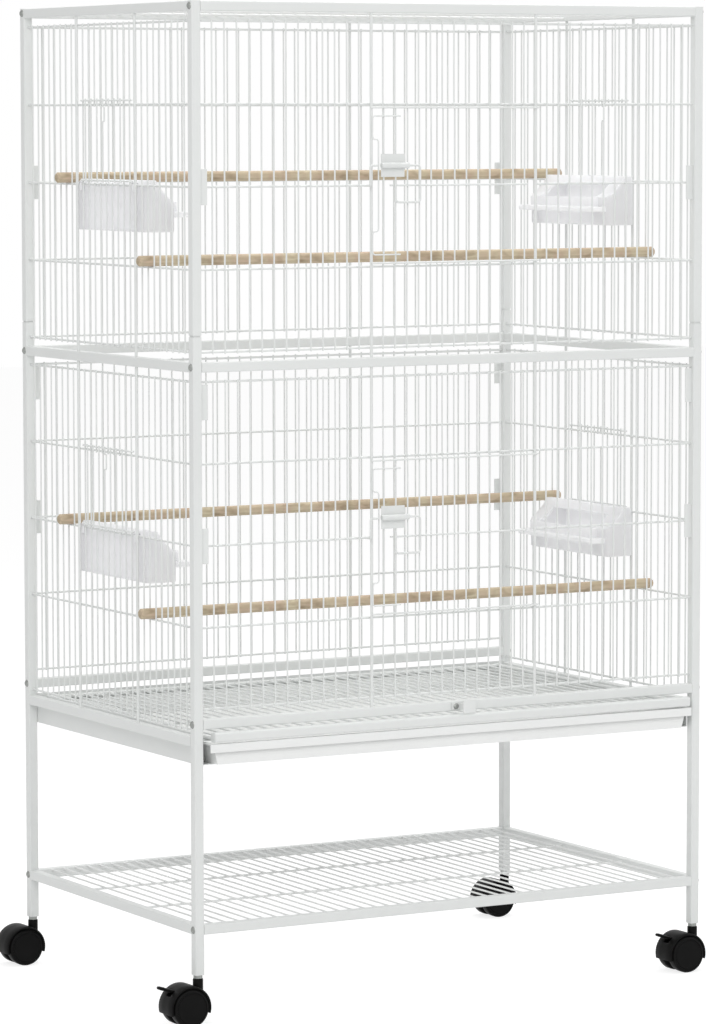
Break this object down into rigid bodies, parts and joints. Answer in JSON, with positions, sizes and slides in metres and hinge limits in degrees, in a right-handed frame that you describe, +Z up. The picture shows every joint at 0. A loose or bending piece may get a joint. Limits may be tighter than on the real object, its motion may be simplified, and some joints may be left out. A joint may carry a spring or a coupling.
{
  "type": "flight bird cage",
  "caption": "Tall wire flight cage on braked casters, with latched bird doors, sliding feeder doors, hooded feeders, perches, floor grate, pull-out tray and lower shelf.",
  "frame": {"origin": "on the floor under the centre of the four posts", "axes": "+Z up, front with the bird doors towards -Y, +X to the right seen from the front"},
  "size_m": [0.8359, 0.541, 1.32],
  "materials": {
    "white_steel": "white powder coat, satin",
    "plastic_white": "milky moulded plastic",
    "wood": "plain turned softwood",
    "plastic_black": "black satin plastic",
    "zinc_steel": "zinc plated"
  },
  "bodies": {
    "cage_frame": {"upper_post_front_left": "white_steel", "upper_post_front_right": "white_steel", "upper_post_back_left": "white_steel", "upper_post_back_right": "white_steel", "lower_post_front_left": "white_steel", "lower_post_front_right": "white_steel", "lower_post_back_left": "white_steel", "lower_post_back_right": "white_steel", "post_joint_plugs": "white_steel", "front_rails": "white_steel", "back_rails": "white_steel", "left_rails": "white_steel", "right_rails": "white_steel", "frame_bolts": "zinc_steel", "front_panel_upper": "white_steel", "front_panel_lower": "white_steel", "back_panel_upper": "white_steel", "back_panel_lower": "white_steel", "left_panel_upper": "white_steel", "left_panel_lower": "white_steel", "right_panel_upper": "white_steel", "right_panel_lower": "white_steel", "top_grille": "white_steel", "perch_upper_rear": "wood", "perch_upper_front": "wood", "perch_lower_rear": "wood", "perch_lower_front": "wood", "tray_runners": "white_steel", "lock_screw": "zinc_steel", "shelf_grille": "white_steel", "caster_stems": "zinc_steel"},
    "upper_bird_door": {"upper_door": "white_steel", "upper_latch_plate": "white_steel"},
    "upper_latch": {"upper_latch_bolt": "white_steel"},
    "lower_bird_door": {"lower_door": "white_steel", "lower_latch_plate": "white_steel"},
    "lower_latch": {"lower_latch_bolt": "white_steel"},
    "left_upper_feeder_door": {"feeder_door_left_upper": "white_steel"},
    "left_upper_feeder": {"feeder_left_upper": "plastic_white"},
    "left_lower_feeder_door": {"feeder_door_left_lower": "white_steel"},
    "left_lower_feeder": {"feeder_left_lower": "plastic_white"},
    "right_upper_feeder_door": {"feeder_door_right_upper": "white_steel"},
    "right_upper_feeder": {"feeder_right_upper": "plastic_white"},
    "right_lower_feeder_door": {"feeder_door_right_lower": "white_steel"},
    "right_lower_feeder": {"feeder_right_lower": "plastic_white"},
    "grate": {"floor_grate": "white_steel"},
    "droppings_tray": {"tray": "white_steel"},
    "grate_lock": {"lock_tab": "white_steel"},
    "caster_front_left": {"caster_hood_front_left": "plastic_black"},
    "wheels_front_left": {"caster_wheels_front_left": "plastic_black"},
    "brake_front_left": {"brake_lever_front_left": "plastic_black"},
    "caster_front_right": {"caster_hood_front_right": "plastic_black"},
    "wheels_front_right": {"caster_wheels_front_right": "plastic_black"},
    "brake_front_right": {"brake_lever_front_right": "plastic_black"},
    "caster_back_left": {"caster_hood_back_left": "plastic_black"},
    "wheels_back_left": {"caster_wheels_back_left": "plastic_black"},
    "caster_back_right": {"caster_hood_back_right": "plastic_black"},
    "wheels_back_right": {"caster_wheels_back_right": "plastic_black"}
  },
  "joints": [
    {"name": "upper_door_hinge", "type": "hinge", "parent": "cage_frame", "child": "upper_bird_door", "pos_m": [0.12567, -0.2524, 1.083], "axis": [0, 0, 1], "range_deg": [0, 135]},
    {"name": "upper_latch_slide", "type": "slide", "parent": "upper_bird_door", "child": "upper_latch", "axis": [1, 0, 0], "range_m": [-0.012, 0]},
    {"name": "lower_door_hinge", "type": "hinge", "parent": "cage_frame", "child": "lower_bird_door", "pos_m": [0.12567, -0.2524, 0.622], "axis": [0, 0, 1], "range_deg": [0, 135]},
    {"name": "lower_latch_slide", "type": "slide", "parent": "lower_bird_door", "child": "lower_latch", "axis": [1, 0, 0], "range_m": [-0.012, 0]},
    {"name": "left_upper_feeder_door_slide", "type": "slide", "parent": "cage_frame", "child": "left_upper_feeder_door", "axis": [0, 0, 1], "range_m": [0, 0.095]},
    {"name": "left_upper_feeder_tilt", "type": "hinge", "parent": "cage_frame", "child": "left_upper_feeder", "pos_m": [-0.38285, 0, 1.083], "axis": [0, -1, 0], "range_deg": [0, 40]},
    {"name": "left_lower_feeder_door_slide", "type": "slide", "parent": "cage_frame", "child": "left_lower_feeder_door", "axis": [0, 0, 1], "range_m": [0, 0.095]},
    {"name": "left_lower_feeder_tilt", "type": "hinge", "parent": "cage_frame", "child": "left_lower_feeder", "pos_m": [-0.38285, 0, 0.622], "axis": [0, -1, 0], "range_deg": [0, 40]},
    {"name": "right_upper_feeder_door_slide", "type": "slide", "parent": "cage_frame", "child": "right_upper_feeder_door", "axis": [0, 0, 1], "range_m": [0, 0.095]},
    {"name": "right_upper_feeder_tilt", "type": "hinge", "parent": "cage_frame", "child": "right_upper_feeder", "pos_m": [0.38285, 0, 1.083], "axis": [0, 1, 0], "range_deg": [0, 40]},
    {"name": "right_lower_feeder_door_slide", "type": "slide", "parent": "cage_frame", "child": "right_lower_feeder_door", "axis": [0, 0, 1], "range_m": [0, 0.095]},
    {"name": "right_lower_feeder_tilt", "type": "hinge", "parent": "cage_frame", "child": "right_lower_feeder", "pos_m": [0.38285, 0, 0.622], "axis": [0, 1, 0], "range_deg": [0, 40]},
    {"name": "grate_slide", "type": "slide", "parent": "cage_frame", "child": "grate", "axis": [0, -1, 0], "range_m": [0, 0.4]},
    {"name": "tray_slide", "type": "slide", "parent": "cage_frame", "child": "droppings_tray", "axis": [0, -1, 0], "range_m": [0, 0.4]},
    {"name": "lock_tab_turn", "type": "hinge", "parent": "cage_frame", "child": "grate_lock", "pos_m": [0, -0.256, 0.3915], "axis": [0, -1, 0], "range_deg": [-90, 0]},
    {"name": "caster_front_left_swivel", "type": "hinge", "parent": "cage_frame", "child": "caster_front_left", "pos_m": [-0.3835, -0.2495, 0.055], "axis": [0, 0, 1], "continuous": true},
    {"name": "wheels_front_left_spin", "type": "hinge", "parent": "caster_front_left", "child": "wheels_front_left", "pos_m": [-0.4025, -0.2495, 0.025], "axis": [0, 1, 0], "continuous": true},
    {"name": "brake_front_left_press", "type": "hinge", "parent": "caster_front_left", "child": "brake_front_left", "pos_m": [-0.40917, -0.2495, 0.04332], "axis": [0, -1, 0], "range_deg": [0, 16]},
    {"name": "caster_front_right_swivel", "type": "hinge", "parent": "cage_frame", "child": "caster_front_right", "pos_m": [0.3835, -0.2495, 0.055], "axis": [0, 0, 1], "continuous": true},
    {"name": "wheels_front_right_spin", "type": "hinge", "parent": "caster_front_right", "child": "wheels_front_right", "pos_m": [0.3645, -0.2495, 0.025], "axis": [0, 1, 0], "continuous": true},
    {"name": "brake_front_right_press", "type": "hinge", "parent": "caster_front_right", "child": "brake_front_right", "pos_m": [0.35783, -0.2495, 0.04332], "axis": [0, -1, 0], "range_deg": [0, 16]},
    {"name": "caster_back_left_swivel", "type": "hinge", "parent": "cage_frame", "child": "caster_back_left", "pos_m": [-0.3835, 0.2495, 0.055], "axis": [0, 0, 1], "continuous": true},
    {"name": "wheels_back_left_spin", "type": "hinge", "parent": "caster_back_left", "child": "wheels_back_left", "pos_m": [-0.4025, 0.2495, 0.025], "axis": [0, 1, 0], "continuous": true},
    {"name": "caster_back_right_swivel", "type": "hinge", "parent": "cage_frame", "child": "caster_back_right", "pos_m": [0.3835, 0.2495, 0.055], "axis": [0, 0, 1], "continuous": true},
    {"name": "wheels_back_right_spin", "type": "hinge", "parent": "caster_back_right", "child": "wheels_back_right", "pos_m": [0.3645, 0.2495, 0.025], "axis": [0, 1, 0], "continuous": true}
  ]
}
